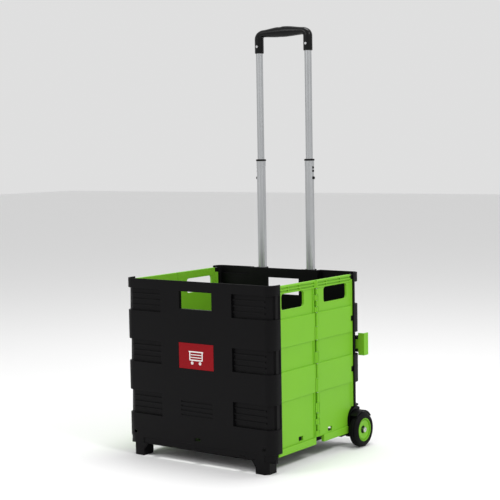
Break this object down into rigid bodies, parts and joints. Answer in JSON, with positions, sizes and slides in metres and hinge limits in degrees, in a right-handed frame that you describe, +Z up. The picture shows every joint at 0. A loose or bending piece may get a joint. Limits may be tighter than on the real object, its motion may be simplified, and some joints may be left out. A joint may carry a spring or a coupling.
{
  "type": "folding crate cart",
  "caption": "Collapsible shopping crate on rear wheels, with fold-in side walls, a hinged floor, a telescopic pull handle and a side latch.",
  "frame": {"origin": "middle of the cart's outline on the floor, crate open and handle pulled out", "axes": "+Z up, +Y towards the wheels and handle, +X to the right seen from the front; the front panel faces -Y"},
  "size_m": [0.454, 0.38, 0.983],
  "materials": {
    "black_plastic": "fine grain moulded",
    "green_plastic": "satin moulded",
    "tube_metal": "satin anodised",
    "steel": "plated",
    "tyre": "smooth rubber",
    "label": "flat printed plate"
  },
  "bodies": {
    "back_frame": {"back_panel": "black_plastic", "tube_sleeve_right": "black_plastic", "tube_sleeve_left": "black_plastic", "guide_bush_right": "black_plastic", "guide_bush_left": "black_plastic", "wheel_housing_right": "black_plastic", "wheel_housing_left": "black_plastic", "floor_ledge_right": "black_plastic", "floor_ledge_left": "black_plastic", "axle": "steel", "washer_right": "steel", "washer_left": "steel", "axle_cap_right": "steel", "axle_cap_left": "steel", "rear_pin_right": "steel", "rear_pin_left": "steel", "latch_bracket": "black_plastic", "latch_pin": "steel"},
    "right_rear": {"side_rear_right": "green_plastic", "mid_pin_right": "steel"},
    "right_front": {"side_front_right": "green_plastic"},
    "left_rear": {"side_rear_left": "green_plastic", "mid_pin_left": "steel"},
    "left_front": {"side_front_left": "green_plastic"},
    "front": {"front_panel": "black_plastic", "label_plate": "label", "front_pin_right": "steel", "front_pin_left": "steel", "floor_pin": "steel"},
    "floor": {"floor_panel": "black_plastic"},
    "handle_lower": {"lower_tube_right": "tube_metal", "lower_tube_left": "tube_metal", "collar_right": "black_plastic", "collar_left": "black_plastic", "handle_brace": "black_plastic"},
    "handle_upper": {"upper_tube_right": "tube_metal", "upper_tube_left": "tube_metal", "tube_plug_right": "black_plastic", "tube_plug_left": "black_plastic", "grip": "black_plastic", "grip_screw_right": "steel", "grip_screw_left": "steel"},
    "wheel_right": {"tyre_right": "tyre", "hub_right": "green_plastic"},
    "wheel_left": {"tyre_left": "tyre", "hub_left": "green_plastic"},
    "latch_lever": {"latch": "green_plastic"},
    "button_right": {"button_right": "black_plastic"},
    "button_left": {"button_left": "black_plastic"}
  },
  "joints": [
    {"name": "right_rear_fold", "type": "hinge", "parent": "back_frame", "child": "right_rear", "pos_m": [0.195, 0.142, 0.25], "axis": [0, 0, -1], "range_deg": [0, 82]},
    {"name": "right_mid_fold", "type": "hinge", "parent": "right_rear", "child": "right_front", "pos_m": [0.201, -0.011, 0.25], "axis": [0, 0, 1], "range_deg": [0, 164]},
    {"name": "front_panel_fold", "type": "hinge", "parent": "right_front", "child": "front", "pos_m": [0.195, -0.164, 0.25], "axis": [0, 0, -1], "range_deg": [0, 82]},
    {"name": "left_rear_fold", "type": "hinge", "parent": "back_frame", "child": "left_rear", "pos_m": [-0.195, 0.142, 0.25], "axis": [0, 0, 1], "range_deg": [0, 82]},
    {"name": "left_mid_fold", "type": "hinge", "parent": "left_rear", "child": "left_front", "pos_m": [-0.201, -0.011, 0.25], "axis": [0, 0, -1], "range_deg": [0, 164]},
    {"name": "floor_fold", "type": "hinge", "parent": "front", "child": "floor", "pos_m": [0, -0.17, 0.0315], "axis": [1, 0, 0], "range_deg": [0, 90]},
    {"name": "handle_lower_slide", "type": "slide", "parent": "back_frame", "child": "handle_lower", "axis": [0, 0, 1], "range_m": [-0.244, 0]},
    {"name": "handle_upper_slide", "type": "slide", "parent": "handle_lower", "child": "handle_upper", "axis": [0, 0, 1], "range_m": [-0.224, 0]},
    {"name": "wheel_right_spin", "type": "hinge", "parent": "back_frame", "child": "wheel_right", "pos_m": [0.2155, 0.15, 0.04], "axis": [1, 0, 0], "continuous": true},
    {"name": "wheel_left_spin", "type": "hinge", "parent": "back_frame", "child": "wheel_left", "pos_m": [-0.2155, 0.15, 0.04], "axis": [1, 0, 0], "continuous": true},
    {"name": "latch_swing", "type": "hinge", "parent": "back_frame", "child": "latch_lever", "pos_m": [0.196, 0.167, 0.237], "axis": [0, 0, 1], "range_deg": [0, 70]},
    {"name": "button_right_press", "type": "slide", "parent": "handle_lower", "child": "button_right", "axis": [1, 0, 0], "range_m": [-0.0012, 0], "stiffness_N_per_m": 800, "springref_m": 0.001},
    {"name": "button_left_press", "type": "slide", "parent": "handle_lower", "child": "button_left", "axis": [-1, 0, 0], "range_m": [-0.0012, 0], "stiffness_N_per_m": 800, "springref_m": 0.001}
  ],
  "couplings": [
    {"joint": "right_mid_fold", "follows": "right_rear_fold", "ratio": 2},
    {"joint": "front_panel_fold", "follows": "right_rear_fold", "ratio": 1},
    {"joint": "left_rear_fold", "follows": "right_rear_fold", "ratio": 1},
    {"joint": "left_mid_fold", "follows": "right_rear_fold", "ratio": 2}
  ]
}
